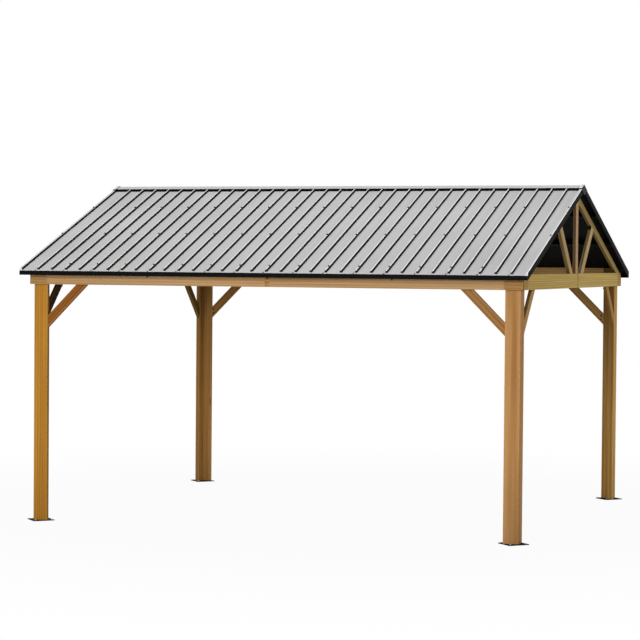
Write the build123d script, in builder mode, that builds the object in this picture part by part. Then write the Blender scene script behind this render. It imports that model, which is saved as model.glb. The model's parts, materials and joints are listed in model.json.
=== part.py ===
from build123d import *
from math import cos, radians, sin, tan
import os

os.makedirs("parts", exist_ok=True)

# Garden gazebo: four L-shaped timber posts on anchored foot plates, a ring of timber beams with
# corner caps, two timber gable trusses, three steel rafter frames and a ribbed sheet roof.
# X runs along the ridge, Y across it with the front at minus Y, and Z is up from the ground.

# Roof outline, and how far it stands out past the faces of the beams
roof_length = 4576.0
roof_depth = 4086.0
roof_pitch = 20.8
rake_overhang = 60.0
eave_overhang = 90.0
eave_below_beam = 11.0

# Posts and foot plates
post_board = 130.0
post_thickness = 38.0
post_edge_break = 3.0
plate_side = 190.0
plate_thickness = 6.0
plate_inset = 50.0
plate_tip_radius = 8.0
anchor_circle = 212.0
anchor_hole = 12.0

# Beam ring
beam_underside = 2085.0
beam_depth = 130.0
beam_proud = 28.0
beam_edge_break = 3.0
cap_corner_break = 4.0
roof_clearance = 1.0
end_clearance = 0.5
joint_gap = 0.5
long_splice = 36.0
short_splice = 120.0
splice_recess = 4.0
splice_plate = 420.0
splice_plate_depth = 54.0
splice_plate_thickness = 22.0

# Knee braces
brace_reach = 380.0
brace_width = 76.0
brace_thickness = 30.0
brace_edge_break = 2.5

# Gable trusses
truss_thickness = 30.0
gable_rafter_depth = 62.0
king_post_width = 86.0
web_width = 80.0
web_foot_share = 0.103
web_head_share = 0.313
truss_edge_break = 2.0

# Steel rafter frames and purlins
inner_rafter_count = 3
inner_rafter_thickness = 40.0
inner_rafter_depth = 60.0
purlin_width = 40.0
purlin_depth = 40.0
purlin_row_shares = (0.41, 0.735)

# Sheet roof
bay_count = 34
bays_per_panel = 2
sheet = 3.0
rib_base = 20.0
rib_crest = 9.0
rib_height = 22.0
rib_offset = 14.0
eave_lip = 18.0
seam_gap = 1.0
ridge_gap = 16.0
rake_width = 24.0
rake_drop = 38.0
fascia_height = 38.0
fascia_flange = 20.0
fascia_hem = 12.0
cap_wing = 72.0
ridge_end_width = 220.0
ridge_end_height = 85.0
ridge_end_thickness = 4.0

# Values that follow from the sizes above
half_length = roof_length / 2
half_depth = roof_depth / 2
post_x = half_length - rake_overhang - beam_proud
post_y = half_depth - eave_overhang - beam_proud
slope = tan(radians(roof_pitch))
lean = cos(radians(roof_pitch))
climb = sin(radians(roof_pitch))
beam_top = beam_underside + beam_depth
beam_thickness = beam_proud + post_thickness
eave_height = beam_top - eave_below_beam
purlin_drop = purlin_depth / lean
rafter_top_drop = sheet + purlin_drop
gable_rafter_drop = gable_rafter_depth / lean
inner_rafter_drop = inner_rafter_depth / lean
truss_outer = post_x + beam_proud
truss_inner = truss_outer - truss_thickness
panel_field = roof_length - rake_width * 2
bay = panel_field / bay_count
panel_count = bay_count // bays_per_panel

ENDS = (("left", -1), ("right", 1))
SIDES = (("front", -1), ("back", 1))
CORNERS = [(side + "_" + end, sx, sy) for side, sy in SIDES for end, sx in ENDS]


def roof_z(y):
    """Height of the upper face of the roof sheet at a distance y from the ridge."""
    return eave_height + (half_depth - abs(y)) * slope


def under_sheet(y):
    """Height that timber may reach under the roof sheet at a distance y from the ridge."""
    return roof_z(y) - sheet - roof_clearance


def hand_out(piece, name):
    piece.part.label = name
    export_step(piece.part, "parts/" + name + ".step")


# Posts: a wide and a narrow board joined to an L, the outer corner facing out, on the foot plates
def make_post(name, sx, sy):
    narrow_board = post_board - post_thickness - joint_gap
    wide_centre = (sx * (post_x - post_board / 2), sy * (post_y - post_thickness / 2))
    narrow_centre = (sx * (post_x - post_thickness / 2), sy * (post_y - post_board + narrow_board / 2))
    with BuildPart() as post:
        with BuildSketch(Plane.XY.offset(plate_thickness)) as outline:
            with Locations(wide_centre):
                Rectangle(post_board, post_thickness)
            with Locations(narrow_centre):
                Rectangle(post_thickness, narrow_board)
            chamfer(outline.vertices(), length=post_edge_break)
        extrude(amount=beam_top - plate_thickness)
    hand_out(post, name + "_post")


# Foot plates: square steel plates turned cornerwise, an anchor hole in each corner
def make_foot_plate(name, sx, sy):
    centre = (sx * (post_x - plate_inset), sy * (post_y - plate_inset), 0)
    with BuildPart() as plate:
        with BuildSketch(Plane(origin=centre)) as outline:
            Rectangle(plate_side, plate_side, rotation=45)
            fillet(outline.vertices(), radius=plate_tip_radius)
            with PolarLocations(anchor_circle / 2, 4):
                Circle(anchor_hole / 2, mode=Mode.SUBTRACT)
        extrude(amount=plate_thickness)
    hand_out(plate, name + "_foot_plate")


# Corner caps: two short boards mitred round the head of each post, in line with the beams, the long
# side made up to the roof over the post head
def make_corner_cap(name, sx, sy):
    inner_x, inner_y = sx * post_x, sy * post_y
    outer_x, outer_y = inner_x + sx * beam_proud, inner_y + sy * beam_proud
    tip_x, tip_y = inner_x - sx * post_board, inner_y - sy * post_board
    eased_x, eased_y = outer_x - sx * cap_corner_break, outer_y - sy * cap_corner_break
    eased_z = beam_underside + cap_corner_break
    back_y, post_head = inner_y - sy * post_thickness, beam_top + joint_gap
    with BuildPart() as cap:
        with BuildSketch(Plane.XY.offset(beam_underside)):
            Polygon((outer_x - sx * joint_gap, outer_y), (tip_x, outer_y), (tip_x, inner_y),
                    (inner_x - sx * joint_gap, inner_y), align=None)
            Polygon((outer_x, outer_y), (outer_x, tip_y), (inner_x, tip_y), (inner_x, inner_y), align=None)
        extrude(amount=beam_depth)
        with BuildSketch(Plane.YZ.offset(tip_x)):
            Polygon((inner_y, beam_top), (outer_y, beam_top), (outer_y, under_sheet(outer_y)),
                    (back_y, under_sheet(back_y)), (back_y, post_head), (inner_y, post_head), align=None)
        extrude(amount=sx * (truss_inner - end_clearance) - tip_x)
        # The lower corner is eased on both faces
        with BuildSketch(Plane.XZ.offset(-inner_y)):
            Polygon((outer_x, beam_underside), (eased_x, beam_underside), (outer_x, eased_z), align=None)
        extrude(amount=-sy * beam_proud, mode=Mode.SUBTRACT)
        with BuildSketch(Plane.YZ.offset(inner_x)):
            Polygon((outer_y, beam_underside), (eased_y, beam_underside), (outer_y, eased_z), align=None)
        extrude(amount=sx * beam_proud, mode=Mode.SUBTRACT)
    hand_out(cap, name + "_corner_cap")


# Long beams: two lengths each, between the posts and the middle splice, the top planed to the roof
def make_long_beam(side, sy):
    inner_y = sy * (post_y - post_thickness)
    outer_y = sy * (post_y + beam_proud)
    length = post_x - post_board - long_splice / 2 - end_clearance * 2
    with BuildPart() as beam:
        for start in (long_splice / 2 + end_clearance, -long_splice / 2 - end_clearance - length):
            with BuildSketch(Plane.YZ.offset(start)):
                Polygon((inner_y, beam_underside), (outer_y, beam_underside), (outer_y, under_sheet(outer_y)),
                        (inner_y, under_sheet(inner_y)), align=None)
            extrude(amount=length)
        chamfer(beam.edges().group_by(Axis.Z)[0].filter_by(Axis.X), length=beam_edge_break)
    hand_out(beam, side + "_beam")


# Short beams: two lengths each under the gable trusses
def make_short_beam(end, sx):
    middle_x = sx * (post_x + beam_proud - beam_thickness / 2)
    length = post_y - post_board - short_splice / 2 - end_clearance * 2
    middle_y = short_splice / 2 + end_clearance + length / 2
    with BuildPart() as beam:
        with BuildSketch(Plane.XY.offset(beam_underside)):
            with Locations((middle_x, middle_y), (middle_x, -middle_y)):
                Rectangle(beam_thickness, length)
        extrude(amount=beam_depth)
        chamfer(beam.edges().group_by(Axis.Z)[0].filter_by(Axis.Y), length=beam_edge_break)
    hand_out(beam, end + "_beam")


# Splices: a block set back between the two lengths of a beam, and a plate along their inner faces
def make_long_splice(side, sy):
    inner_y = sy * (post_y - post_thickness)
    face_y = sy * (post_y + beam_proud - splice_recess)
    plate_y = inner_y - sy * joint_gap
    back_y = plate_y - sy * splice_plate_thickness
    plate_top = beam_underside + splice_plate_depth
    with BuildPart() as splice:
        with BuildSketch(Plane.YZ):
            Polygon((inner_y, beam_underside), (face_y, beam_underside), (face_y, under_sheet(face_y)),
                    (inner_y, under_sheet(inner_y)), align=None)
        extrude(amount=long_splice / 2, both=True)
        with BuildSketch(Plane.YZ):
            Polygon((back_y, beam_underside), (plate_y, beam_underside), (plate_y, plate_top),
                    (back_y, plate_top), align=None)
        extrude(amount=splice_plate / 2, both=True)
    hand_out(splice, side + "_splice")


def make_short_splice(end, sx):
    inner_x = sx * (post_x - post_thickness)
    face_x = sx * (post_x + beam_proud - splice_recess)
    plate_x = inner_x - sx * joint_gap
    back_x = plate_x - sx * splice_plate_thickness
    plate_top = beam_underside + splice_plate_depth
    with BuildPart() as splice:
        with BuildSketch(Plane.XZ):
            Polygon((inner_x, beam_underside), (face_x, beam_underside), (face_x, beam_top),
                    (inner_x, beam_top), align=None)
        extrude(amount=short_splice / 2, both=True)
        with BuildSketch(Plane.XZ):
            Polygon((back_x, beam_underside), (plate_x, beam_underside), (plate_x, plate_top),
                    (back_x, plate_top), align=None)
        extrude(amount=splice_plate / 2, both=True)
    hand_out(splice, end + "_splice")


# Knee braces: two boards at each post, cut at half a right angle, from the post's edge to the beam
def make_braces(name, sx, sy):
    inner_reach = brace_reach - brace_width / sin(radians(45))
    foot_x, foot_y = sx * (post_x - post_board), sy * (post_y - post_board)
    face_x, face_y = sx * (post_x - post_thickness / 2), sy * (post_y - post_thickness / 2)
    low, high = beam_underside - brace_reach, beam_underside - inner_reach
    with BuildPart() as braces:
        with BuildSketch(Plane.XZ.offset(-face_y)):
            Polygon((foot_x, low), (foot_x, high), (foot_x - sx * inner_reach, beam_underside),
                    (foot_x - sx * brace_reach, beam_underside), align=None)
        extrude(amount=brace_thickness / 2, both=True)
        with BuildSketch(Plane.YZ.offset(face_x)):
            Polygon((foot_y, low), (foot_y, high), (foot_y - sy * inner_reach, beam_underside),
                    (foot_y - sy * brace_reach, beam_underside), align=None)
        extrude(amount=brace_thickness / 2, both=True)
        chamfer(braces.edges().sort_by(SortBy.LENGTH)[-8:], length=brace_edge_break)
    hand_out(braces, name + "_braces")


# Gable trusses: rafters with level feet on the beam, a king post and two webs fanning to the rafters
def rafter_under(y):
    return roof_z(y) - rafter_top_drop - gable_rafter_drop


def make_gable_rafter(end, side, sx, sy):
    near_y = king_post_width / 2
    tip_y = half_depth - (eave_below_beam + rafter_top_drop) / slope
    heel_y = tip_y - gable_rafter_drop / slope
    with BuildPart() as rafter:
        with BuildSketch(Plane.YZ.offset(min(sx * truss_outer, sx * truss_inner))):
            Polygon((sy * near_y, rafter_under(near_y)), (sy * heel_y, beam_top), (sy * tip_y, beam_top),
                    (sy * near_y, roof_z(near_y) - rafter_top_drop), align=None)
        extrude(amount=truss_thickness)
        chamfer(rafter.edges().sort_by(SortBy.LENGTH)[-4:], length=truss_edge_break)
    hand_out(rafter, end + "_" + side + "_gable_rafter")


def make_king_post(end, sx):
    half_width = king_post_width / 2
    shoulder = roof_z(half_width) - rafter_top_drop
    with BuildPart() as king_post:
        with BuildSketch(Plane.YZ.offset(min(sx * truss_outer, sx * truss_inner))):
            Polygon((-half_width, beam_top), (half_width, beam_top), (half_width, shoulder),
                    (0, roof_z(0) - rafter_top_drop), (-half_width, shoulder), align=None)
        extrude(amount=truss_thickness)
        chamfer(king_post.edges().filter_by(Axis.Z), length=truss_edge_break)
    hand_out(king_post, end + "_king_post")


def make_webs(end, sx):
    web_foot, web_head = half_depth * web_foot_share, half_depth * web_head_share
    rise, run = rafter_under(web_head) - beam_top, web_head - web_foot
    steepness = rise / run
    half_foot = web_width / 2 * (rise ** 2 + run ** 2) ** 0.5 / rise
    near_foot, far_foot = web_foot - half_foot, web_foot + half_foot
    near_head = (rafter_under(0) - beam_top + near_foot * steepness) / (steepness + slope)
    far_head = (rafter_under(0) - beam_top + far_foot * steepness) / (steepness + slope)
    with BuildPart() as webs:
        for _, sy in SIDES:
            with BuildSketch(Plane.YZ.offset(min(sx * truss_outer, sx * truss_inner))):
                Polygon((sy * near_foot, beam_top), (sy * far_foot, beam_top),
                        (sy * far_head, rafter_under(far_head)),
                        (sy * near_head, rafter_under(near_head)), align=None)
            extrude(amount=truss_thickness)
        chamfer(webs.edges().sort_by(SortBy.LENGTH)[-8:], length=truss_edge_break)
    hand_out(webs, end + "_gable_webs")


# Steel rafters: from the inner face of a long beam up to the ridge, between the two gable trusses
def make_inner_rafters(side, sy):
    foot_y = post_y - post_thickness
    spacing = (truss_outer + truss_inner) / (inner_rafter_count + 1)
    top_foot, top_head = roof_z(foot_y) - rafter_top_drop, roof_z(0) - rafter_top_drop
    with BuildPart() as rafters:
        for number in range(inner_rafter_count):
            middle_x = (number - (inner_rafter_count - 1) / 2) * spacing
            with BuildSketch(Plane.YZ.offset(middle_x)):
                Polygon((sy * foot_y, top_foot - inner_rafter_drop), (sy * foot_y, top_foot), (0, top_head),
                        (0, top_head - inner_rafter_drop), align=None)
            extrude(amount=inner_rafter_thickness / 2, both=True)
    hand_out(rafters, side + "_inner_rafters")


# Purlins: two rows a slope on the rafters, carrying the sheets out past the gables
def make_purlins(side, sy):
    with BuildPart() as purlins:
        for share in purlin_row_shares:
            low_y = half_depth * (1 - share) + purlin_width * lean / 2
            high_y = low_y - purlin_width * lean
            with BuildSketch(Plane.YZ):
                Polygon((sy * low_y, roof_z(low_y) - rafter_top_drop), (sy * low_y, roof_z(low_y) - sheet),
                        (sy * high_y, roof_z(high_y) - sheet),
                        (sy * high_y, roof_z(high_y) - rafter_top_drop), align=None)
            extrude(amount=half_length - sheet - end_clearance, both=True)
    hand_out(purlins, side + "_purlins")


# Roof sheets: narrow panels side by side, each with a rib in its middle and one at its seam, the ribs
# running from the ridge cap to a flat lip at the eave. The outer panels reach under the rake trims, and
# all the ribs of a slope stand a little to the right of one who faces it.
def make_roof_panels(side, sy):
    panel_width = bay * bays_per_panel
    lip_y = half_depth - eave_lip * lean
    head_y = cap_wing * lean + sheet + seam_gap
    field_edge = half_length - sheet - joint_gap
    with BuildPart() as panels:
        for number in range(panel_count):
            seam_rib = (number + 1) * panel_width - panel_field / 2 - sy * rib_offset
            stop = seam_rib + rib_base / 2
            start = stop - panel_width + seam_gap
            if number == 0:
                start = -field_edge
            if number == panel_count - 1:
                stop = field_edge
            with BuildSketch(Plane.YZ.offset(start)):
                Polygon((sy * half_depth, eave_height - sheet), (sy * half_depth, eave_height),
                        (sy * ridge_gap, roof_z(ridge_gap)), (sy * ridge_gap, roof_z(ridge_gap) - sheet),
                        align=None)
            extrude(amount=stop - start)
            rib_middles = [seam_rib - bay]
            if number < panel_count - 1:
                rib_middles.append(seam_rib)
            with BuildSketch(Plane.XZ.offset(-sy * lip_y)):
                for middle in rib_middles:
                    Polygon((middle - rib_base / 2, roof_z(lip_y)), (middle + rib_base / 2, roof_z(lip_y)),
                            (middle + rib_crest / 2, roof_z(lip_y) + rib_height),
                            (middle - rib_crest / 2, roof_z(lip_y) + rib_height), align=None)
            extrude(amount=(lip_y - head_y) / lean, dir=(0, -sy * lean, climb))
    hand_out(panels, side + "_roof_panels")


# Fascias: folded strips along the eaves, a flange under the sheets and a hem turned in below
def make_fascia(side, sy):
    flange_y = half_depth - fascia_flange
    foot = eave_height - fascia_height
    with BuildPart() as fascia:
        with BuildSketch(Plane.YZ):
            Polygon((sy * half_depth, foot), (sy * (half_depth + sheet), foot),
                    (sy * (half_depth + sheet), eave_height), (sy * half_depth, eave_height), align=None)
            Polygon((sy * (half_depth - fascia_hem), foot), (sy * half_depth, foot),
                    (sy * half_depth, foot + sheet), (sy * (half_depth - fascia_hem), foot + sheet), align=None)
            Polygon((sy * half_depth, eave_height - sheet * 2), (sy * half_depth, eave_height - sheet),
                    (sy * flange_y, roof_z(flange_y) - sheet),
                    (sy * flange_y, roof_z(flange_y) - sheet * 2), align=None)
        extrude(amount=half_length - sheet - end_clearance, both=True)
    hand_out(fascia, side + "_fascia")


# Rake trims: two folded channels a gable, the inner leg standing on the sheet's edge and the outer
# leg hanging past it, as high as the ribs and closed at the eave
def make_rake_trim(end, sx):
    head_y = seam_gap / 2
    face_x, inner_x = sx * half_length, sx * (half_length - rake_width)
    top, foot = eave_height + rib_height, eave_height - rake_drop
    with BuildPart() as trim:
        for _, sy in SIDES:
            with BuildSketch(Plane.XZ.offset(-sy * half_depth)):
                Polygon((face_x, foot), (face_x, top), (inner_x, top), (inner_x, eave_height),
                        (inner_x + sx * sheet, eave_height), (inner_x + sx * sheet, top - sheet),
                        (face_x - sx * sheet, top - sheet), (face_x - sx * sheet, foot), align=None)
            extrude(amount=(half_depth - head_y) / lean, dir=(0, -sy * lean, climb))
            with BuildSketch(Plane.XZ.offset(-sy * half_depth)):
                Polygon((face_x, eave_height), (face_x, top), (inner_x, top), (inner_x, eave_height), align=None)
            extrude(amount=sheet / lean, dir=(0, -sy * lean, climb))
    hand_out(trim, end + "_rake_trim")


# Ridge cap: a folded sheet level with the heads of the ribs, its turned-down edges standing on the sheets
def make_ridge_cap():
    under = roof_z(0) + rib_height
    edge_y = cap_wing * lean
    lip_y = edge_y + sheet
    with BuildPart() as cap:
        with BuildSketch(Plane.YZ):
            Polygon((0, under), (lip_y, roof_z(lip_y) + rib_height), (lip_y, roof_z(lip_y) + rib_height + sheet),
                    (0, under + sheet), (-lip_y, roof_z(lip_y) + rib_height + sheet),
                    (-lip_y, roof_z(lip_y) + rib_height), align=None)
        extrude(amount=half_length, both=True)
        for _, sy in SIDES:
            with BuildSketch(Plane.YZ):
                Polygon((sy * edge_y, roof_z(edge_y)), (sy * lip_y, roof_z(lip_y)),
                        (sy * lip_y, roof_z(lip_y) + rib_height), (sy * edge_y, roof_z(edge_y) + rib_height),
                        align=None)
            extrude(amount=panel_field / 2 - end_clearance, both=True)
    hand_out(cap, "ridge_cap")


# Ridge ends: small plates closing the gable peak under the ridge cap
def make_ridge_end(end, sx):
    peak = roof_z(0) + rib_height
    half_width = ridge_end_width / 2
    with BuildPart() as plate:
        with BuildSketch(Plane.YZ.offset(sx * half_length)):
            Polygon((0, peak), (half_width, peak - half_width * slope), (0, peak - ridge_end_height),
                    (-half_width, peak - half_width * slope), align=None)
        extrude(amount=sx * ridge_end_thickness)
    hand_out(plate, end + "_ridge_end")


for name, sx, sy in CORNERS:
    make_post(name, sx, sy)
    make_foot_plate(name, sx, sy)
    make_corner_cap(name, sx, sy)
    make_braces(name, sx, sy)

for side, sy in SIDES:
    make_long_beam(side, sy)
    make_long_splice(side, sy)
    make_inner_rafters(side, sy)
    make_purlins(side, sy)
    make_roof_panels(side, sy)
    make_fascia(side, sy)

for end, sx in ENDS:
    make_short_beam(end, sx)
    make_short_splice(end, sx)
    make_king_post(end, sx)
    make_webs(end, sx)
    make_rake_trim(end, sx)
    make_ridge_end(end, sx)
    for side, sy in SIDES:
        make_gable_rafter(end, side, sx, sy)

make_ridge_cap()
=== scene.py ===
import json
import math

import bmesh
import bpy
from mathutils import Matrix, Vector


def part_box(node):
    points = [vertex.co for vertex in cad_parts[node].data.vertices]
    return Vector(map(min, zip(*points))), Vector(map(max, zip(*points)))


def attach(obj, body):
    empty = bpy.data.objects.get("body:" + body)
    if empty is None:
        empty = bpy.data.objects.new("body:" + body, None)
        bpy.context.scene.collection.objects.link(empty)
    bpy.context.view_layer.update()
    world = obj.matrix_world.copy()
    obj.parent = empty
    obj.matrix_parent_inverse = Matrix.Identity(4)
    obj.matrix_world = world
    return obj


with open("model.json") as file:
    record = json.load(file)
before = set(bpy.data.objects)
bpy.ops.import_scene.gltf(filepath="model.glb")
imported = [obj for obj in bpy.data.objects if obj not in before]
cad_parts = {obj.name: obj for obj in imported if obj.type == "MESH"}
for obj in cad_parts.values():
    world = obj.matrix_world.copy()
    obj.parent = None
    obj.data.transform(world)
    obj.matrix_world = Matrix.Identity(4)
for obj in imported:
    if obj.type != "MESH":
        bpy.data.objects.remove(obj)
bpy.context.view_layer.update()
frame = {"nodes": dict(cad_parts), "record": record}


# Foot plates and ground anchors
# Square steel plates turned cornerwise under the posts, powder coated black, each held down by four
# anchor bolts: a zinc plated washer and a low hexagon head with a small pip in its middle.

solids = frame["nodes"]
sides = (("front", -1), ("back", 1))
ends = (("left", -1), ("right", 1))
corners = [(side + "_" + end, sx, sy) for side, sy in sides for end, sx in ends]
millimetre = 0.001
anchor_circle = frame["record"]["mounts"][0]["dims"]["pcd_mm"] * millimetre
anchor_sizes = {"Washer radius": 0.0095, "Washer height": 0.0015, "Head radius": 0.0078,
                "Head height": 0.0045, "Stud radius": 0.003, "Stud height": 0.0006}
drum_sides = {"Washer": 20, "Head": 6, "Stud": 12}
plate_black = (15, 15, 16)
zinc_bright = (176, 178, 181)
evenly = (1, 1, 1)
noise_span = (0.3, 0.7)


def screen(red, green, blue):
    """A colour as a screen shows it, turned into the linear values that a shader takes."""
    steps = [c / 255 for c in (red, green, blue)]
    return tuple(((s + 0.055) / 1.055) ** 2.4 if s > 0.04 else s / 12.92 for s in steps) + (1.0,)


def toned(colour, factor, lift=0.0):
    """A shader colour made darker or paler by a factor, then lifted by an even amount."""
    return tuple(min(c * factor + lift, 1.0) for c in colour[:3]) + (1.0,)


def step(tree, kind, wires=None, **settings):
    """One node of a tree: its settings, then its inputs, each a value or the output of another node."""
    made = tree.nodes.new(kind)
    for key, value in settings.items():
        setattr(made, key, value)
    for key, value in (wires or {}).items():
        if isinstance(value, bpy.types.NodeSocket):
            tree.links.new(value, made.inputs[key])
        else:
            made.inputs[key].default_value = value
    return made


def sums(tree, operation, first, second=0.0):
    """One sum in a tree."""
    return step(tree, "ShaderNodeMath", {0: first, 1: second}, operation=operation).outputs[0]


def share(tree, value, low, high, to_low=0.0, to_high=1.0):
    """A value's place between two limits, clamped, as a share or as a number between two others."""
    wires = {"Value": value, "From Min": low, "From Max": high, "To Min": to_low, "To Max": to_high}
    return step(tree, "ShaderNodeMapRange", wires).outputs[0]


def blend_colour(tree, amount, first, second, way="MIX"):
    """Two colours mixed by an amount."""
    made = step(tree, "ShaderNodeMix", {0: amount, 6: first, 7: second}, data_type="RGBA", blend_type=way)
    return made.outputs[2]


def stretched(tree, place, factors):
    """A vector multiplied along each axis."""
    return step(tree, "ShaderNodeVectorMath", {0: place, 1: factors}, operation="MULTIPLY").outputs[0]


def speckle(tree, place, factors, scale=1.0, detail=3.0, rough=0.5):
    """Noise over a surface, finer along the axes that have larger factors."""
    drawn = stretched(tree, place, factors)
    wires = {"Vector": drawn, "Scale": scale, "Detail": detail, "Roughness": rough}
    return step(tree, "ShaderNodeTexNoise", wires).outputs[0]


def new_finish(name):
    """An empty material, with its node tree and its shader."""
    finish = bpy.data.materials.new(name)
    finish.use_nodes = True
    return finish, finish.node_tree, finish.node_tree.nodes["Principled BSDF"]


def raised(tree, shader, height, strength, distance):
    """Fine relief on a shader."""
    bump = step(tree, "ShaderNodeBump", {"Strength": strength, "Distance": distance, "Height": height})
    tree.links.new(bump.outputs[0], shader.inputs["Normal"])


def coated_steel(name, colour, sheen, smooth, rough):
    """Powder coat: a deep even colour with a faint orange peel, dull patches and a trace of dust."""
    patch_scale, dust_limits, dust_share = 5.5, (0.5, 0.75), 0.35
    dust_factor, dust_lift = 2.2, 0.004
    peel_scale, peel_strength, peel_depth = 420, 0.12, 0.0006
    finish, tree, shader = new_finish(name)
    place = step(tree, "ShaderNodeTexCoord").outputs["Object"]
    patches = speckle(tree, place, evenly, patch_scale, detail=5)
    dust = sums(tree, "MULTIPLY", share(tree, patches, *dust_limits), dust_share)
    deep = screen(*colour)
    dusty = blend_colour(tree, dust, deep, toned(deep, dust_factor, dust_lift))
    tree.links.new(dusty, shader.inputs["Base Color"])
    tree.links.new(share(tree, patches, *noise_span, smooth, rough), shader.inputs["Roughness"])
    shader.inputs["Specular IOR Level"].default_value = sheen
    peel = speckle(tree, place, evenly, peel_scale, detail=2)
    raised(tree, shader, peel, peel_strength, peel_depth)
    return finish


def zinc(name, colour):
    """Bright zinc plate: a pale metal in fine clouds, the paler ones a little rougher."""
    cloud_scale, dull_factor, metal_share = 160, 0.6, 0.9
    smooth, rough = 0.24, 0.46
    finish, tree, shader = new_finish(name)
    place = step(tree, "ShaderNodeTexCoord").outputs["Object"]
    clouds = speckle(tree, place, evenly, cloud_scale, detail=4)
    bright = screen(*colour)
    cloudy = blend_colour(tree, clouds, toned(bright, dull_factor), bright)
    tree.links.new(cloudy, shader.inputs["Base Color"])
    tree.links.new(share(tree, clouds, *noise_span, smooth, rough), shader.inputs["Roughness"])
    shader.inputs["Metallic"].default_value = metal_share
    return finish


def fastener_tree():
    """A washer, a hexagon head and a stud end at every point, standing along the point's axis and turned
    about it by chance."""
    tree = bpy.data.node_groups.new("hexagon_fasteners", "GeometryNodeTree")
    tree.interface.new_socket("Seats", in_out="INPUT", socket_type="NodeSocketGeometry")
    for drum in drum_sides:
        for size in ("radius", "height"):
            tree.interface.new_socket(drum + " " + size, in_out="INPUT", socket_type="NodeSocketFloat")
    tree.interface.new_socket("Seed", in_out="INPUT", socket_type="NodeSocketInt")
    tree.interface.new_socket("Finish", in_out="INPUT", socket_type="NodeSocketMaterial")
    tree.interface.new_socket("Fasteners", in_out="OUTPUT", socket_type="NodeSocketGeometry")
    given = tree.nodes.new("NodeGroupInput").outputs
    joined = tree.nodes.new("GeometryNodeJoinGeometry")
    foot = 0.0
    for drum, sides_round in drum_sides.items():
        tall = given[drum + " height"]
        wires = {"Vertices": sides_round, "Radius": given[drum + " radius"], "Depth": tall}
        body = step(tree, "GeometryNodeMeshCylinder", wires).outputs["Mesh"]
        lift = sums(tree, "ADD", sums(tree, "MULTIPLY", tall, 0.5), foot)
        raise_by = step(tree, "ShaderNodeCombineXYZ", {"Z": lift}).outputs[0]
        lifted = step(tree, "GeometryNodeTransform", {"Geometry": body, "Translation": raise_by})
        tree.links.new(lifted.outputs[0], joined.inputs[0])
        foot = sums(tree, "ADD", tall, foot)
    axis = step(tree, "GeometryNodeInputNamedAttribute", {"Name": "axis"}, data_type="FLOAT_VECTOR")
    upright = step(tree, "FunctionNodeAlignRotationToVector", {"Vector": axis.outputs[0]}, axis="Z")
    spin = step(tree, "FunctionNodeRandomValue", {2: 0.0, 3: math.tau, 8: given["Seed"]}, data_type="FLOAT")
    about = step(tree, "FunctionNodeAxisAngleToRotation", {"Axis": (0, 0, 1), "Angle": spin.outputs[1]})
    wires = {"Rotation": upright.outputs[0], "Rotate By": about.outputs[0]}
    spun = step(tree, "FunctionNodeRotateRotation", wires, rotation_space="LOCAL")
    wires = {"Points": given["Seats"], "Instance": joined.outputs[0], "Rotation": spun.outputs[0]}
    placed = step(tree, "GeometryNodeInstanceOnPoints", wires)
    real = step(tree, "GeometryNodeRealizeInstances", {"Geometry": placed.outputs[0]})
    wires = {"Geometry": real.outputs[0], "Material": given["Finish"]}
    painted = step(tree, "GeometryNodeSetMaterial", wires)
    tree.links.new(painted.outputs[0], tree.nodes.new("NodeGroupOutput").inputs[0])
    return tree


fasteners = fastener_tree()


def drive(name, seats, sizes, finish, seed):
    """Fasteners driven at (point, axis) seats, as one plain mesh that rides on the gazebo."""
    mesh = bpy.data.meshes.new(name)
    mesh.from_pydata([point for point, axis in seats], [], [])
    axes = mesh.attributes.new("axis", "FLOAT_VECTOR", "POINT")
    axes.data.foreach_set("vector", [number for point, axis in seats for number in axis])
    piece = bpy.data.objects.new(name, mesh)
    maker = piece.modifiers.new("fasteners", "NODES")
    maker.node_group = fasteners
    values = dict(sizes, Seed=seed, Finish=finish)
    for socket in fasteners.interface.items_tree:
        if socket.in_out == "INPUT" and socket.name in values:
            maker[socket.identifier] = values[socket.name]
    bpy.context.scene.collection.objects.link(piece)
    built = piece.evaluated_get(bpy.context.evaluated_depsgraph_get())
    plain = bpy.data.meshes.new_from_object(built)
    piece.modifiers.remove(maker)
    piece.data = plain
    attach(piece, "root")


def dress(node, finish):
    """A finish on a CAD solid."""
    solids[node].data.materials.clear()
    solids[node].data.materials.append(finish)


foot_coat = coated_steel("foot_black", plate_black, sheen=0.01, smooth=0.65, rough=0.85)
anchor_zinc = zinc("anchor_zinc", zinc_bright)
anchor_reach = anchor_circle / 2
anchor_seats = []
for corner, sx, sy in corners:
    dress(corner + "_foot_plate", foot_coat)
    low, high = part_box(corner + "_foot_plate")
    middle = (low + high) / 2
    for across, along in ((1, 0), (0, 1), (-1, 0), (0, -1)):
        seat = (middle.x + across * anchor_reach, middle.y + along * anchor_reach, high.z)
        anchor_seats.append((seat, (0, 0, 1)))
drive("ground_anchors", anchor_seats, anchor_sizes, anchor_zinc, seed=3)


# Posts
# Two planed softwood boards a post, stained a golden brown and screwed to an L. The grain runs up the
# post, the arrises are rubbed paler, and the boards grow a little darker towards the foot. The sides of
# the two back posts are painted paler than their fronts: painted light where they stand in shade.

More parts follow.
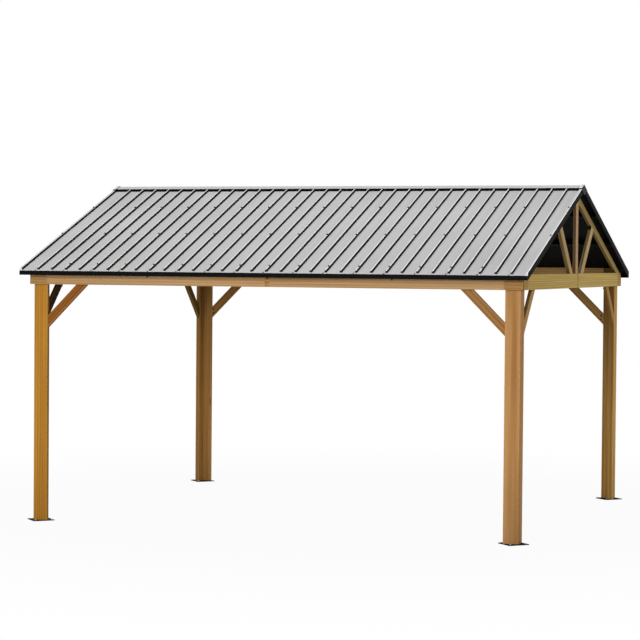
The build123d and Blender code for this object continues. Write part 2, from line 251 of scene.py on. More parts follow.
post_stains = {"front_left": ((176, 126, 50), (141, 94, 31)),
               "front_right": ((177, 136, 88), (145, 104, 59)),
               "back_left": ((170, 128, 72), (126, 90, 45)),
               "back_right": ((172, 134, 73), (131, 95, 46))}
# The back posts' sides are painted paler than their fronts, painted light that lifts the shade they stand
# in.
post_side_painted_light = {"back_left": ((206, 155, 86), (152, 109, 53)),
                    "back_right": ((200, 160, 90), (152, 113, 56))}
up_the_grain = (0, 90, 0)
corner_shift, plane_shift = (5.3, 3.7, 0), 9.1
streak_factors, fibre_factors, drift_factors = (0.55, 26, 26), (5, 420, 420), (0.6, 2.2, 2.2)
ring_factors, knot_factors = (0.05, 1, 1), (1.7, 5.5, 5.5)
ring_waves = {"Scale": 17, "Distortion": 3, "Detail": 2, "Detail Scale": 1.1}
knot_limits, knotless_share = (0.03, 0.1), 0.62
streak_weight, ring_weight, fibre_weight = 0.62, 0.2, 0.18
figure_limits = (0.3, 0.68)
side_limits = (0.6, 0.8)
drift_limits, drift_share, drift_tint = (0.45, 0.75), 0.55, (1.0, 0.84, 0.66, 1.0)
knot_share, knot_tone = 0.7, 0.3
end_limits, end_share, end_tone = (0.55, 0.75), 0.6, 0.62
seam_limits, seam_share = (0.004, 0.01), 0.6
foot_dark_height, foot_dark_tint = 0.8, (0.78, 0.76, 0.74, 1.0)
arris_limits, arris_share, arris_tan = (0.3, 0.45), 0.45, (222, 186, 132)
wood_rough, wood_smooth, wood_gloss = 0.66, 0.5, 0.02
relief_strength, relief_depth = 0.3, 0.0012


def xyz_of(tree, vector):
    """The three numbers of a vector."""
    return step(tree, "ShaderNodeSeparateXYZ", {0: vector}).outputs


def turned(tree, vector, turn, kind="POINT"):
    """A place, or a direction of kind VECTOR, turned by degrees about each axis."""
    angles = tuple(math.radians(angle) for angle in turn)
    wires = {"Vector": vector, "Rotation": angles}
    return step(tree, "ShaderNodeMapping", wires, vector_type=kind).outputs[0]


def either(tree, choice, first, second):
    """The first of two vectors where choice is 0, the second where it is 1."""
    return step(tree, "ShaderNodeMix", {0: choice, 4: first, 5: second}, data_type="VECTOR").outputs[1]


def weighed(tree, *parts):
    """Values added up, each by its weight."""
    products = [sums(tree, "MULTIPLY", value, weight) for value, weight in parts]
    total = products[0]
    for product in products[1:]:
        total = sums(tree, "ADD", total, product)
    return total


def stained(tree, figure, stain):
    """The pale and the dark shade of a stain, mixed by the figure of the wood."""
    pale, dark = [screen(*shade) for shade in stain]
    return blend_colour(tree, share(tree, figure, *figure_limits), dark, pale)


def timber(name, stain, turn, second_turn=None, split=0.0, second_stain=None, side_painted_light=None,
           mirrored=True, seam=0.0):
    """Stained softwood. turn is the rotation in degrees that lays the grain along X. Mirrored boards are
    read by their distance from the middle of the gazebo, with another stretch of grain at each corner.
    Where a node holds boards in two planes, second_turn and second_stain serve those nearer the middle
    than split. Faces that look along the ridge take side_painted_light, where it is given. Boards that end at
    seam, a distance along the grain, have soaked up more stain there."""
    finish, tree, shader = new_finish(name)
    place = step(tree, "ShaderNodeTexCoord").outputs["Object"]
    facing = step(tree, "ShaderNodeNewGeometry").outputs["Normal"]
    shift = (0.0, 0.0, 0.0)
    if mirrored:
        xyz = xyz_of(tree, place)
        wires = {0: sums(tree, "SIGN", xyz[0]), 1: sums(tree, "SIGN", xyz[1]), 2: 1.0}
        hands = step(tree, "ShaderNodeCombineXYZ", wires).outputs[0]
        place = stretched(tree, place, hands)
        facing = stretched(tree, facing, hands)
        wires = {0: hands, 1: corner_shift}
        shift = step(tree, "ShaderNodeVectorMath", wires, operation="DOT_PRODUCT").outputs[1]
    laid = turned(tree, place, turn)
    face = turned(tree, facing, turn, "VECTOR")
    if second_turn:
        outer = sums(tree, "GREATER_THAN", xyz_of(tree, place)[1], split)
        laid = either(tree, outer, turned(tree, place, second_turn), laid)
        face = either(tree, outer, turned(tree, facing, second_turn, "VECTOR"), face)
        shift = sums(tree, "ADD", shift, sums(tree, "MULTIPLY", outer, plane_shift))
    grain = step(tree, "ShaderNodeVectorMath", {0: laid, 1: shift}, operation="ADD").outputs[0]

    # Broad streaks, growth rings, fine fibre and a few knots, all drawn out along the grain
    streaks = speckle(tree, grain, streak_factors, detail=4, rough=0.55)
    fibre = speckle(tree, grain, fibre_factors, detail=3, rough=0.6)
    drift = speckle(tree, grain, drift_factors, detail=2)
    wires = dict(ring_waves, Vector=stretched(tree, grain, ring_factors))
    rings = step(tree, "ShaderNodeTexWave", wires, wave_type="RINGS", rings_direction="X").outputs[1]
    wires = {"Vector": stretched(tree, grain, knot_factors), "Scale": 1.0, "Randomness": 1.0}
    cells = step(tree, "ShaderNodeTexVoronoi", wires).outputs
    chance = step(tree, "ShaderNodeSeparateColor", {0: cells["Color"]}).outputs[0]
    few = sums(tree, "GREATER_THAN", chance, knotless_share)
    knot = sums(tree, "MULTIPLY", share(tree, cells["Distance"], *knot_limits, 1, 0), few)

    figure = weighed(tree, (streaks, streak_weight), (rings, ring_weight), (fibre, fibre_weight))
    dark = screen(*stain[1])
    colour = stained(tree, figure, stain)
    if second_stain:
        colour = blend_colour(tree, outer, stained(tree, figure, second_stain), colour)
    # Faces that look along the ridge take a paler stain where one is given: painted light on sides that
    # stand in shade.
    if side_painted_light:
        sideways = share(tree, sums(tree, "ABSOLUTE", xyz_of(tree, facing)[0]), *side_limits)
        colour = blend_colour(tree, sideways, colour, stained(tree, figure, side_painted_light))
    drifting = share(tree, drift, *drift_limits, 0, drift_share)
    colour = blend_colour(tree, drifting, colour, drift_tint, "MULTIPLY")
    colour = blend_colour(tree, sums(tree, "MULTIPLY", knot, knot_share), colour, toned(dark, knot_tone))

    # Dark end grain, stain soaked up at a seam, darker towards the foot, and arrises rubbed pale
    near = xyz_of(tree, step(tree, "ShaderNodeVectorMath", {0: face}, operation="ABSOLUTE").outputs[0])
    end_grain = share(tree, near[0], *end_limits, 0, end_share)
    colour = blend_colour(tree, end_grain, colour, toned(dark, end_tone))
    if seam:
        short_of = sums(tree, "ABSOLUTE", sums(tree, "SUBTRACT", xyz_of(tree, laid)[0], seam))
        colour = blend_colour(tree, share(tree, short_of, *seam_limits, seam_share, 0), colour, dark)
    foot_dark = share(tree, xyz_of(tree, place)[2], foot_dark_height, 0.0)
    colour = blend_colour(tree, foot_dark, colour, foot_dark_tint, "MULTIPLY")
    arris = share(tree, sums(tree, "MULTIPLY", near[1], near[2]), *arris_limits, 0, arris_share)
    colour = blend_colour(tree, sums(tree, "MULTIPLY", arris, streaks), colour, screen(*arris_tan))
    tree.links.new(colour, shader.inputs["Base Color"])
    tree.links.new(share(tree, figure, *noise_span, wood_rough, wood_smooth), shader.inputs["Roughness"])
    shader.inputs["Specular IOR Level"].default_value = wood_gloss
    raised(tree, shader, weighed(tree, (fibre, 0.5), (rings, 0.5)), relief_strength, relief_depth)
    return finish


for corner, stain in post_stains.items():
    side_painted_light = post_side_painted_light.get(corner)
    dress(corner + "_post", timber(corner + "_post_stain", stain, up_the_grain, side_painted_light=side_painted_light))


# Beam ring
# Planed beams in two lengths a side, mitred corner caps round the post heads and set-back splice
# blocks, all of the same stained softwood, with the grain running along each length.

front_stain = ((176, 142, 102), (147, 113, 74))
# The back beam's stain is painted paler than the front's: painted light on its inner face, which stands in
# the shade of the roof.
back_stain_painted_light = ((242, 198, 134), (212, 165, 104))
end_stain_painted_light = ((189, 164, 97), (153, 127, 65))
# The end beams and their splices are tinted olive where the long beams are tan: painted light, the warm
# tint of the light that falls on the sides.
cap_stain = ((160, 125, 79), (131, 95, 53))
cap_end_stain = ((176, 145, 82), (141, 110, 53))
splice_stain = ((182, 140, 86), (126, 86, 46))
along_the_ridge = (0, 0, 0)
across_the_ridge = (0, 0, -90)
clear_of_post = 0.0005
cap_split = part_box("back_right_post")[1].y + clear_of_post
long_seam, end_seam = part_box("front_beam")[1].x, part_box("right_beam")[1].y

long_stains = {"front": timber("front_beam_stain", front_stain, along_the_ridge, seam=long_seam),
               "back": timber("back_beam_stain_painted_light", back_stain_painted_light, along_the_ridge, seam=long_seam)}
end_beam_stain_painted_light = timber("end_beam_stain_painted_light", end_stain_painted_light, across_the_ridge, seam=end_seam)
corner_stain = timber("corner_cap_stain", cap_stain, along_the_ridge,
                      across_the_ridge, cap_split, cap_end_stain)
long_splice_stain = timber("long_splice_stain", splice_stain, along_the_ridge, mirrored=False)
end_splice_stain_painted_light = timber("end_splice_stain_painted_light", end_stain_painted_light, across_the_ridge, mirrored=False)
for side, sy in sides:
    dress(side + "_beam", long_stains[side])
    dress(side + "_splice", long_splice_stain)
for end, sx in ends:
    dress(end + "_beam", end_beam_stain_painted_light)
    dress(end + "_splice", end_splice_stain_painted_light)
for corner, sx, sy in corners:
    dress(corner + "_corner_cap", corner_stain)


# Knee braces
# Softwood boards cut at half a right angle between the post edges and the beams, fixed from the inside
# by two black screws at each end, so that no head shows on the outer faces.

ridgewise_stains = {"front_left": ((150, 96, 42), (104, 60, 20)),
                    "front_right": ((158, 118, 71), (112, 76, 39)),
                    "back_left": ((176, 130, 68), (125, 83, 37)),
                    "back_right": ((208, 165, 100), (147, 106, 55))}
# The front left crosswise brace is stained near black: painted shade on its inner face, which stands in the
# shadow of the roof.
crosswise_stains_and_shade = {"front_left": ((70, 46, 8), (46, 28, 4)),
                    "front_right": ((176, 138, 82), (118, 86, 45)),
                    "back_left": ((136, 106, 44), (91, 66, 23)),
                    "back_right": ((176, 134, 74), (118, 84, 40))}
ridgewise_brace = (0, 135, 0)
crosswise_brace = (-135, 0, -90)
brace_thick = 0.030
ridgewise_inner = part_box("back_right_braces")[1].y - brace_thick
crosswise_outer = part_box("back_right_post")[0].y
brace_split = (ridgewise_inner + crosswise_outer) / 2
brace_screw_sizes = {"Washer radius": 0.0095, "Washer height": 0.0015, "Head radius": 0.0075,
                     "Head height": 0.005, "Stud radius": 0.0035, "Stud height": 0.0008}
screw_from_post = 0.022
foot_screw_rises = (0.052, 0.087)
head_screw_reaches = (0.300, 0.345)
head_screw_drop = 0.020
screw_black = (14, 13, 13)

screw_coat = coated_steel("screw_black", screw_black, sheen=0.3, smooth=0.35, rough=0.55)
brace_seats = []
for corner, sx, sy in corners:
    dress(corner + "_braces", timber(corner + "_brace_stain", ridgewise_stains[corner], ridgewise_brace,
                                     crosswise_brace, brace_split, crosswise_stains_and_shade[corner]))
    low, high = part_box(corner + "_braces")
    post_low, post_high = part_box(corner + "_post")
    inner_x = max(abs(low.x), abs(high.x)) - brace_thick
    inner_y = max(abs(low.y), abs(high.y)) - brace_thick
    edge_x = min(abs(post_low.x), abs(post_high.x))
    edge_y = min(abs(post_low.y), abs(post_high.y))
    spots = [(screw_from_post, low.z + rise) for rise in foot_screw_rises]
    spots += [(reach, high.z - head_screw_drop) for reach in head_screw_reaches]
    for inward, height in spots:
        brace_seats.append(((sx * (edge_x - inward), sy * inner_y, height), (0, -sy, 0)))
        brace_seats.append(((sx * inner_x, sy * (edge_y - inward), height), (-sx, 0, 0)))
drive("brace_screws", brace_seats, brace_screw_sizes, screw_coat, seed=11)


# Gable trusses
# Two rafters, a king post and two fanned webs at each end, of the same softwood. The webs and rafters
# are tinted a pale olive, painted light from the side, and the rafters a little darker, painted shade
# under the rake. A black steel angle in the corner holds the head of each web to its rafter.

roof_pitch, web_lean = 20.8, 46
pitch = math.radians(roof_pitch)
rafter_stain_painted_light_and_shade = ((160, 140, 90), (120, 98, 54))
web_stain_painted_light = ((186, 163, 117), (141, 113, 70))
king_stain = ((174, 141, 102), (124, 92, 59))
rafter_grain = (roof_pitch - 180, 0, -90)
web_grain = (-web_lean, 0, -90)
bracket_leg, bracket_width, bracket_thick = 0.036, 0.022, 0.003
bracket_bolt_share = 0.64
bracket_bolt_sizes = {"Washer radius": 0.007, "Washer height": 0.001, "Head radius": 0.0055,
                      "Head height": 0.0035, "Stud radius": 0.0028, "Stud height": 0.0006}
level_slack = 0.001

rafter_wood = timber("gable_rafter_stain_painted_light_and_shade", rafter_stain_painted_light_and_shade, rafter_grain)
web_wood = timber("gable_web_stain_painted_light", web_stain_painted_light, web_grain)
king_wood = timber("king_post_stain", king_stain, up_the_grain, mirrored=False)
for end, sx in ends:
    dress(end + "_king_post", king_wood)
    dress(end + "_gable_webs", web_wood)
    for side, sy in sides:
        dress(end + "_" + side + "_gable_rafter", rafter_wood)


def inner_edge_of_web(end, sy):
    """The head and the foot of a web's edge on the side of the king post, as distance from the ridge line
    and height."""
    shape = solids[end + "_gable_webs"]
    points = [shape.matrix_world @ vertex.co for vertex in shape.data.vertices]
    mine = [Vector((sy * point.y, point.z)) for point in points if sy * point.y > 0]
    lowest = min(point.y for point in mine)
    head = max(mine, key=lambda point: point.y)
    foot = min((point for point in mine if point.y < lowest + level_slack), key=lambda point: point.x)
    return head, foot


def add_fold(points, faces, outline, span):
    """Folded steel with one outline in Y and Z between two places along X, added to a mesh's lists."""
    first, around = len(points), len(outline)
    for x in span:
        points.extend((x, y, z) for y, z in outline)
    near, far = range(first, first + around), range(first + around, first + around * 2)
    for i in range(around):
        after = (i + 1) % around
        faces.append([near[i], near[after], far[after], far[i]])
    faces.extend([list(near), list(far)])


def add_steel(name, points, faces, finish):
    """A plain mesh with its faces turned outward, riding on the gazebo."""
    mesh = bpy.data.meshes.new(name)
    mesh.from_pydata(points, [], faces)
    shell = bmesh.new()
    shell.from_mesh(mesh)
    bmesh.ops.recalc_face_normals(shell, faces=shell.faces)
    shell.to_mesh(mesh)
    shell.free()
    mesh.materials.append(finish)
    piece = bpy.data.objects.new(name, mesh)
    bpy.context.scene.collection.objects.link(piece)
    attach(piece, "root")


bracket_points, bracket_faces, bracket_bolts = [], [], []
for end, sx in ends:
    king_low, king_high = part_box(end + "_king_post")
    middle_x = (king_low.x + king_high.x) / 2
    bracket_span = (middle_x - bracket_width / 2, middle_x + bracket_width / 2)
    for side, sy in sides:
        head, foot = inner_edge_of_web(end, sy)
        up = Vector((-math.cos(pitch), math.sin(pitch)))
        down = (foot - head).normalized()
        between = up.dot(down)
        spread = math.sqrt(1 - between ** 2)
        under, beside = (down - up * between) / spread, (up - down * between) / spread
        profile = [head, head + up * bracket_leg, head + up * bracket_leg + under * bracket_thick,
                   head + (up + down) * bracket_thick / spread,
                   head + down * bracket_leg + beside * bracket_thick, head + down * bracket_leg]
        outline = [(sy * point.x, point.y) for point in profile]
        add_fold(bracket_points, bracket_faces, outline, bracket_span)
        for way, out in ((up, under), (down, beside)):
            seat = head + way * bracket_leg * bracket_bolt_share + out * bracket_thick
            bracket_bolts.append(((middle_x, sy * seat.x, seat.y), (0, sy * out.x, out.y)))
add_steel("web_brackets", bracket_points, bracket_faces, screw_coat)
drive("bracket_bolts", bracket_bolts, bracket_bolt_sizes, screw_coat, seed=13)


# Steel rafters and purlins
# Square steel tube in black powder coat: three rafters a slope, each bolted at its foot through the
# long beam or the splice in it, and two rows of purlins that carry the roof sheets.

tube_black = (5, 5, 5)
rafter_thick = 0.040
rafter_bolt_rise = 0.0755
rafter_bolt_sizes = {"Washer radius": 0.0085, "Washer height": 0.002, "Head radius": 0.0065,
                     "Head height": 0.005, "Stud radius": 0.003, "Stud height": 0.0008}

tube_coat = coated_steel("tube_black", tube_black, sheen=0.03, smooth=0.55, rough=0.7)
rafter_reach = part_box("front_inner_rafters")[1].x - rafter_thick / 2
rafter_bolts = []
for side, sy in sides:
    dress(side + "_inner_rafters", tube_coat)
    dress(side + "_purlins", tube_coat)
    beam_face = max((corner.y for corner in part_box(side + "_beam")), key=abs)
    splice_face = max((corner.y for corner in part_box(side + "_splice")), key=abs)
    bolt_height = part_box(side + "_beam")[0].z + rafter_bolt_rise
    for x, face_y in ((-rafter_reach, beam_face), (0.0, splice_face), (rafter_reach, beam_face)):
        rafter_bolts.append(((x, face_y, bolt_height), (0, sy, 0)))
drive("rafter_bolts", rafter_bolts, rafter_bolt_sizes, screw_coat, seed=17)


# Roof sheets
# Narrow steel panels with raised ribs. Their tones are painted by the way each face looks: grey where a
# face looks up, a painted reflection of the sky, and paler on the crests, a painted highlight; black on
# the rib flanks, a painted reflection of dark surroundings, and underneath, darkest in the hollows of the
# ribs as painted shade. Black hexagon screws on the middle ribs go into the beams and the purlins; the
# outermost panel at each end is held by the rake instead.

# The pan grey is a painted reflection of the sky, and the black of the rib flanks a painted reflection of
# dark surroundings.
pan_grey_painted_sky = (211, 211, 211)
crest_grey_painted_highlight = (238, 238, 238)
sheet_black = (42, 42, 41)
under_black, groove_black_painted_shade = (14, 14, 12), (2, 2, 2)
leather_grey, eave_dark_grey = (140, 141, 143), (132, 130, 126)
sheet_gloss, sheet_smooth, sheet_rough = 0.01, 0.5, 0.62
grimy_tone, clean_tone = 0.88, 1.06
leather_scale, leather_limits, leather_share = 300, (0.35, 0.75), 0.22
rain_factors, patch_scale = (30, 1.1, 1.1), 1.6
eave_dark_from, eave_dark_full, eave_dark_share = 1.2, 0.3, 0.36
dent_strength, dent_depth, leather_weight = 0.25, 0.004, 0.1
sheet_thickness = 0.003
hangs_below = 0.0033
rib_from, crest_from, crest_full = 0.003, 0.012, 0.02
roof_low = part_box("front_roof_panels")[0]
eave_reach = -roof_low.y
eave_top = roof_low.z + sheet_thickness
ridge_top = eave_top + eave_reach * math.tan(pitch)


def roof_sheet(name, grey, crest, black, dark_edges=False, pale_from=0.0):
    """Coil-coated sheet with a fine leather grain, long rain streaks down the slope, and a grey that grows
    darker towards the eave. Its tones are painted by the way each face looks: grey above, a painted
    reflection of the sky; black on the flanks and ends of the ribs, a painted reflection of dark
    surroundings, underneath and on all that hangs below the sheet; and dark_edges makes the faces that look
    out to the eaves black as well, a painted shadow. What stands as high as a crest is paler, from
    pale_from outwards, a painted highlight, and the hollows of the ribs are darkest, painted shade."""
    sky_limits, flank_limits, overhung_limits = (0.72, 0.8), (0.4, 0.6), (-0.3, -0.1)
    rib_end_limits, under_limits = (0.6, 0.75), (-0.1, -0.02)
    finish, tree, shader = new_finish(name)
    place = step(tree, "ShaderNodeTexCoord").outputs["Object"]
    xyz = xyz_of(tree, place)
    looks = xyz_of(tree, step(tree, "ShaderNodeNewGeometry").outputs["Normal"])
    out = sums(tree, "ABSOLUTE", xyz[1])
    rise = sums(tree, "ADD", xyz[2], sums(tree, "MULTIPLY", out, math.tan(pitch)))
    above_pan = sums(tree, "GREATER_THAN", rise, ridge_top + rib_from)

    # The faces that take the grey, a painted reflection of the sky, and the crests among them, a painted
    # highlight
    if dark_edges:
        painted_sky_reflection = share(tree, looks[2], *sky_limits)
    else:
        flank = share(tree, sums(tree, "ABSOLUTE", looks[0]), *flank_limits)
        open_above = share(tree, looks[2], *overhung_limits)
        painted_sky_reflection = sums(tree, "MULTIPLY", sums(tree, "SUBTRACT", 1.0, flank), open_above)
    if not pale_from:
        eaveward = share(tree, sums(tree, "ABSOLUTE", looks[1]), *rib_end_limits)
        rib_end = sums(tree, "MULTIPLY", above_pan, eaveward)
        painted_sky_reflection = sums(tree, "MULTIPLY", painted_sky_reflection, sums(tree, "SUBTRACT", 1.0, rib_end))
    above_under = sums(tree, "GREATER_THAN", rise, ridge_top - hangs_below)
    painted_sky_reflection = sums(tree, "MULTIPLY", painted_sky_reflection, above_under)
    # Faces as high as a crest are paler: a painted highlight.
    crest_high = share(tree, rise, ridge_top + crest_from, ridge_top + crest_full)
    far_out = sums(tree, "GREATER_THAN", sums(tree, "ABSOLUTE", xyz[0]), pale_from)
    painted_crest_highlight = sums(tree, "MULTIPLY", crest_high, far_out)

    # Grain, rain streaks and a darker band towards the eave on the grey, then the crests' painted highlight
    # and the black sides, painted reflection and shade
    leather = speckle(tree, place, evenly, leather_scale, detail=3, rough=0.7)
    streaks = speckle(tree, place, rain_factors, detail=4)
    patches = speckle(tree, place, evenly, patch_scale, detail=3)
    tone = weighed(tree, (streaks, 0.5), (patches, 0.5))
    base = screen(*grey)
    grimy, clean = toned(base, grimy_tone), toned(base, clean_tone)
    colour = blend_colour(tree, share(tree, tone, *noise_span), grimy, clean)
    grained = share(tree, leather, *leather_limits, 0, leather_share)
    colour = blend_colour(tree, grained, colour, screen(*leather_grey))
    # The grey grows darker towards the eave, along the rain streaks.
    eave_dark = share(tree, out, eave_reach - eave_dark_from, eave_reach - eave_dark_full, 0, eave_dark_share)
    colour = blend_colour(tree, sums(tree, "MULTIPLY", eave_dark, streaks), colour, screen(*eave_dark_grey))
    colour = blend_colour(tree, painted_crest_highlight, colour, screen(*crest))
    # Downward faces inside the ribs are darkest: painted shade in their hollows.
    hollow = blend_colour(tree, above_pan, screen(*under_black), screen(*groove_black_painted_shade))
    dark_side = blend_colour(tree, share(tree, looks[2], *under_limits), hollow, screen(*black))
    colour = blend_colour(tree, painted_sky_reflection, dark_side, colour)
    tree.links.new(colour, shader.inputs["Base Color"])
    tree.links.new(share(tree, tone, *noise_span, sheet_smooth, sheet_rough), shader.inputs["Roughness"])
    shader.inputs["Specular IOR Level"].default_value = sheet_gloss
    relief = sums(tree, "ADD", sums(tree, "MULTIPLY", leather, leather_weight), patches)
    raised(tree, shader, relief, dent_strength, dent_depth)
    return finish


def on_slope(x, out, sy, lift=0.0):
    """A seat on the front or the back slope, out from the ridge line and lifted above the sheet."""
    height = eave_top + (eave_reach - out) * math.tan(pitch) + lift
    return (x, sy * out, height), (0, sy * math.sin(pitch), math.cos(pitch))


sheet_finish = roof_sheet("roof_sheet_painted_light", pan_grey_painted_sky, crest_grey_painted_highlight, sheet_black)
for side, sy in sides:
    dress(side + "_roof_panels", sheet_finish)

panel_count = 17
panel_width = 2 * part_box("right_rake_trim")[0].x / panel_count
panel_middles = [(number + 0.5 - panel_count / 2) * panel_width for number in range(panel_count)]
rib_height, rib_offset = 0.022, 0.014
beam_row = 1.938
purlin_rows = (1.217, 0.553)
roof_screw_sizes = {"Washer radius": 0.0085, "Washer height": 0.002, "Head radius": 0.0058,
                    "Head height": 0.006, "Stud radius": 0.003, "Stud height": 0.0005}
roof_seats = []
for side, sy in sides:
    for row in (beam_row,) + purlin_rows:
        for middle in panel_middles[1:-1]:
            roof_seats.append(on_slope(middle - sy * rib_offset, row, sy, rib_height))
drive("roof_screws", roof_seats, roof_screw_sizes, screw_coat, seed=23)


# Eave fascias
# Black folded steel strips along both eaves. Short screws through the flat lip of each panel, just
# below the end of its middle rib, fix the sheets to the flange of the fascia.

fascia_black = (10, 10, 11)
lip_inset = 0.009
lip_screw_shift = 0.018
lip_screw_sizes = {"Washer radius": 0.0065, "Washer height": 0.0012, "Head radius": 0.005,
                   "Head height": 0.004, "Stud radius": 0.0025, "Stud height": 0.0005}

trim_coat = coated_steel("trim_black", fascia_black, sheen=0.02, smooth=0.5, rough=0.65)
lip_seats = []
for side, sy in sides:
    dress(side + "_fascia", trim_coat)
    for middle in panel_middles:
        spot = middle - sy * (rib_offset - lip_screw_shift)
        lip_seats.append(on_slope(spot, eave_reach - lip_inset, sy))
drive("lip_screws", lip_seats, lip_screw_sizes, screw_coat, seed=29)


# Rake trims
# Folded steel channels along the gables, as high as the ribs: grey above like the sheets, a painted
# reflection of the sky, with a painted highlight along the outer fold, black on the hanging leg. They are
# screwed down over the purlins.

rake_black = (13, 13, 13)
# The outer fold is paler: a painted highlight.
fold_highlight_width = 0.009

pale_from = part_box("right_rake_trim")[1].x - fold_highlight_width
rake_finish = roof_sheet("rake_sheet_painted_light", pan_grey_painted_sky, crest_grey_painted_highlight, rake_black, pale_from=pale_from)
rake_seats = []
for end, sx in ends:
    dress(end + "_rake_trim", rake_finish)
    low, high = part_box(end + "_rake_trim")
    rake_middle = (low.x + high.x) / 2
    for side, sy in sides:
        for row in purlin_rows:
            rake_seats.append(on_slope(rake_middle, row, sy, rib_height))
drive("rake_screws", rake_seats, roof_screw_sizes, screw_coat, seed=31)


# Ridge cap and ridge ends
# A folded steel cap over the heads of the ribs, grey above as a painted reflection of the sky and black on
# its turned-down edges as a painted shadow. At each gable a small dark plate closes it, and a bent strip,
# grey and with black edges painted the same way, laps it over the heads of the rakes.

ridge_grey_painted_sky = (204, 204, 204)
strip_grey_painted_sky = (226, 226, 226)
# The edge black is a painted shadow under the turned-down edges.
edge_black_painted_shadow = (9, 9, 9)
ridge_end_grey = (20, 20, 21)
strip_width, strip_reach, strip_rise, cap_thick = 0.028, 0.094, 0.007, 0.003

dress("ridge_cap", roof_sheet("ridge_sheet_painted_light", ridge_grey_painted_sky, ridge_grey_painted_sky, edge_black_painted_shadow, dark_edges=True))
ridge_end_coat = coated_steel("ridge_end_grey", ridge_end_grey, sheen=0.06, smooth=0.5, rough=0.65)
strip_finish = roof_sheet("strip_sheet_painted_light", strip_grey_painted_sky, strip_grey_painted_sky, edge_black_painted_shadow, dark_edges=True)
cap_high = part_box("ridge_cap")[1]
half = [(0, 0), (cap_high.y, 0), (cap_high.y, -cap_thick),
        (strip_reach, -cap_thick), (strip_reach, strip_rise)]
profile = half + [(0, strip_rise)] + [(-y, lift) for y, lift in half[:0:-1]]
outline = [(y, cap_high.z - abs(y) * math.tan(pitch) + lift) for y, lift in profile]
strip_points, strip_faces = [], []
for end, sx in ends:
    dress(end + "_ridge_end", ridge_end_coat)
    add_fold(strip_points, strip_faces, outline, (sx * cap_high.x, sx * (cap_high.x - strip_width)))
add_steel("peak_strips", strip_points, strip_faces, strip_finish)


# Studio
# A pale floor that runs out to a white surround, a broad key light in front, a nearer one that fills
# under the eave, weaker ones above, on the right and behind, and the camera at the photograph's place.

floor_size, floor_drop = 400.0, 0.0005
floor_colour, floor_rough = screen(154, 154, 152), 0.9
floor_white_near, floor_white_far = 0.95, 1.0
near_reach, far_reach = 3.0, 7.5
pure_white = (1, 1, 1, 1)
world_level = 0.3

reach = floor_size / 2
floor_corners = [(-reach, -reach, 0), (reach, -reach, 0), (reach, reach, 0), (-reach, reach, 0)]
floor_mesh = bpy.data.meshes.new("floor")
floor_mesh.from_pydata(floor_corners, [], [(0, 1, 2, 3)])
floor = bpy.data.objects.new("floor", floor_mesh)
bpy.context.scene.collection.objects.link(floor)
floor.location.z = -floor_drop


def seen_rays(tree):
    """1 for rays that show a surface to the camera, straight or by reflection or through glass."""
    rays = step(tree, "ShaderNodeLightPath").outputs
    both = sums(tree, "MAXIMUM", rays["Is Camera Ray"], rays["Is Glossy Ray"])
    return sums(tree, "MAXIMUM", both, rays["Is Transmission Ray"])


floor_finish, tree, shader = new_finish("floor_pale")
shader.inputs["Base Color"].default_value = floor_colour
shader.inputs["Roughness"].default_value = floor_rough
glow = step(tree, "ShaderNodeEmission", {"Color": pure_white, "Strength": 1.0}).outputs[0]
place = step(tree, "ShaderNodeTexCoord").outputs["Object"]
from_middle = step(tree, "ShaderNodeVectorMath", {0: place}, operation="LENGTH").outputs[1]
whiteness = share(tree, from_middle, near_reach, far_reach, floor_white_near, floor_white_far)
shown = sums(tree, "MULTIPLY", seen_rays(tree), whiteness)
mixed = step(tree, "ShaderNodeMixShader", {0: shown, 1: shader.outputs[0], 2: glow}).outputs[0]
tree.links.new(mixed, tree.nodes["Material Output"].inputs["Surface"])
floor_mesh.materials.append(floor_finish)

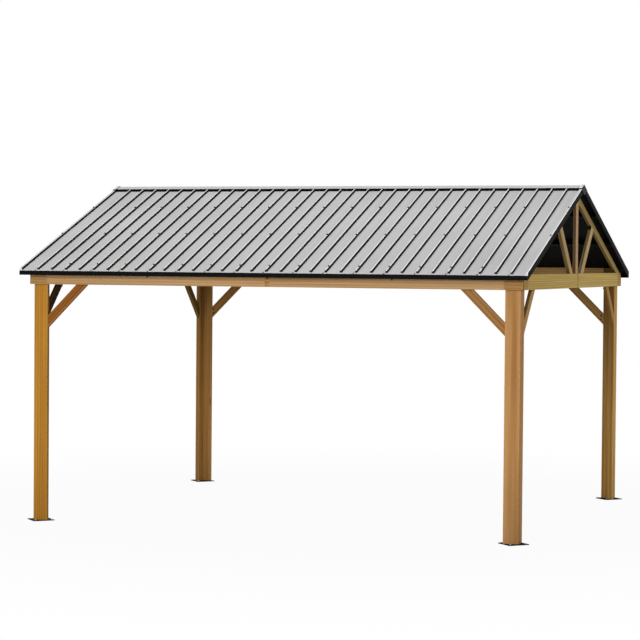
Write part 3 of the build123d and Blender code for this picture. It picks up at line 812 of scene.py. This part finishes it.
world = bpy.data.worlds.new("studio")
world.use_nodes = True
bpy.context.scene.world = world
tree = world.node_tree
soft = step(tree, "ShaderNodeBackground", {"Color": pure_white, "Strength": world_level}).outputs[0]
white = step(tree, "ShaderNodeBackground", {"Color": pure_white, "Strength": 1.0}).outputs[0]
mixed = step(tree, "ShaderNodeMixShader", {0: seen_rays(tree), 1: soft, 2: white}).outputs[0]
tree.links.new(mixed, tree.nodes["World Output"].inputs["Surface"])


def lamp(name, place, aim, size, power):
    """A square soft light."""
    light = bpy.data.lights.new(name, "AREA")
    light.energy = power
    light.size = size
    stand = bpy.data.objects.new(name, light)
    bpy.context.scene.collection.objects.link(stand)
    stand.location = place
    stand.rotation_euler = (Vector(aim) - Vector(place)).to_track_quat("-Z", "Y").to_euler()


gazebo_middle, under_the_eave = (0, 0, 1.8), (0, 0, 2.4)
lamp("key", place=(-3.0, -19.0, 5.4), aim=gazebo_middle, size=8.0, power=1900)
lamp("top", place=(0.0, -4.0, 15.0), aim=gazebo_middle, size=8.0, power=460)
lamp("fill", place=(0.5, -11.0, 3.1), aim=under_the_eave, size=4.0, power=340)
lamp("side", place=(17.0, 1.5, 5.8), aim=gazebo_middle, size=5.0, power=1180)
lamp("back", place=(-9.0, 17.0, 7.0), aim=gazebo_middle, size=7.0, power=900)

camera_place = (6.6393, -19.5132, 2.3277)
camera_yaw, camera_pitch, camera_roll = 0.33745, 0.02761, 0.00824
focal_pixels, photo_pixels = 2216.34, 640
sensor_width, farthest_seen = 36.0, 1000.0

level_ahead = Vector((-math.sin(camera_yaw), math.cos(camera_yaw), 0))
ahead = level_ahead * math.cos(camera_pitch) - Vector((0, 0, math.sin(camera_pitch)))
right = Vector((math.cos(camera_yaw), math.sin(camera_yaw), 0))
above = right.cross(ahead)
rolled_right = right * math.cos(camera_roll) + above * math.sin(camera_roll)
rolled_up = above * math.cos(camera_roll) - right * math.sin(camera_roll)
view = bpy.data.cameras.new("camera")
view.sensor_width = sensor_width
view.lens = focal_pixels / photo_pixels * sensor_width
view.clip_end = farthest_seen
camera = bpy.data.objects.new("camera", view)
bpy.context.scene.collection.objects.link(camera)
turn = Matrix((rolled_right, rolled_up, -ahead)).transposed()
camera.matrix_world = Matrix.Translation(camera_place) @ turn.to_4x4()
bpy.context.scene.camera = camera
bpy.context.scene.view_settings.view_transform = "Standard"
